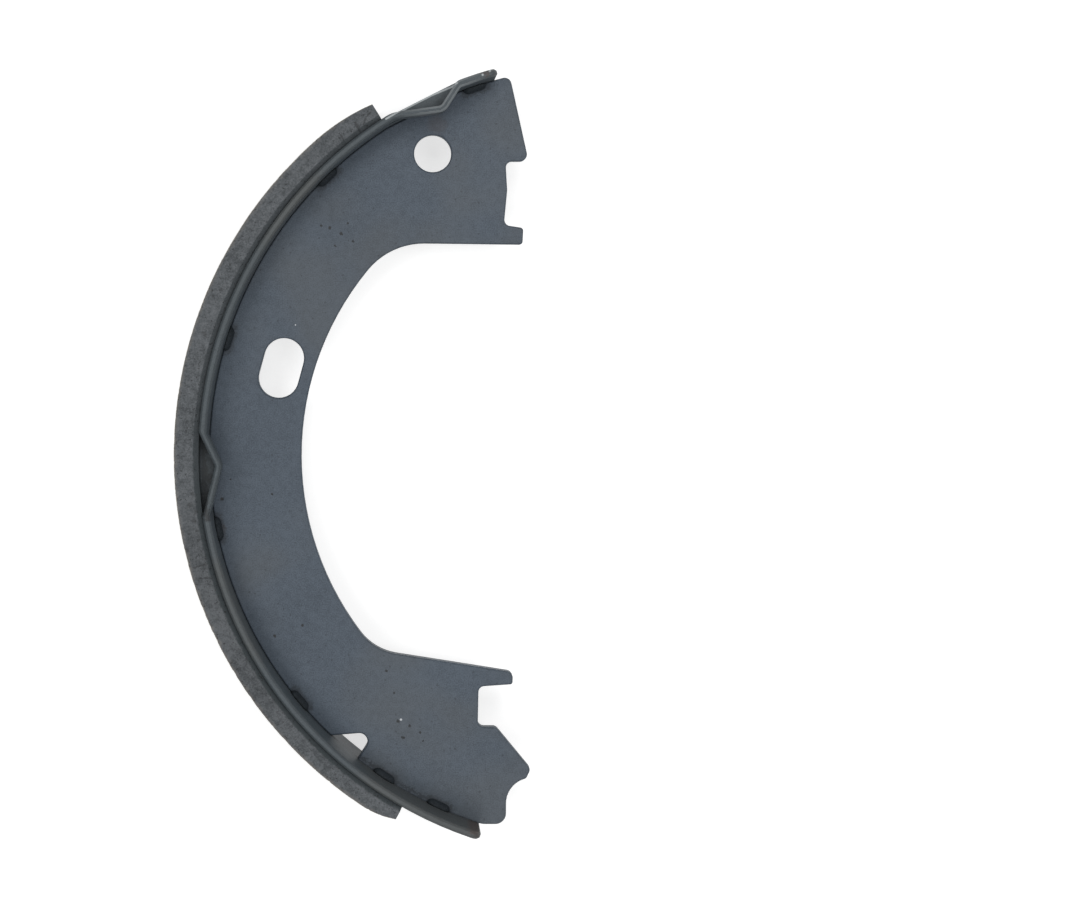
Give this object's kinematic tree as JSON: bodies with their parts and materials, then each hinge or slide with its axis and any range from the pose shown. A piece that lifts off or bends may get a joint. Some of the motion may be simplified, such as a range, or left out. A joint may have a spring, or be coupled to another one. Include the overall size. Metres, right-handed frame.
{
  "type": "brake shoe",
  "caption": "Bonded drum brake shoe: crescent web with shaped arm ends, rolled rim with pressed V notches, curved friction lining.",
  "frame": {"origin": "centre of the bounding box's base; the shoe lies on one side edge of its rim", "axes": "+Z along the drum's axis, across the shoe's width; +Y along the shoe's length, towards the arm with the round hole; +X from the lining towards the open side"},
  "size_m": [0.0852, 0.183, 0.0256],
  "materials": {
    "web": "dark blue-grey phosphate coat, matt",
    "rim": "dark grey phosphate coat, matt, worn at its edges",
    "lining": "moulded resin-bonded friction material, ground face, speckled",
    "weld": "coated weld metal"
  },
  "bodies": {
    "root": {"web": "web", "rim": "rim", "lining": "lining", "weld_nuggets": "weld"}
  },
  "joints": []
}
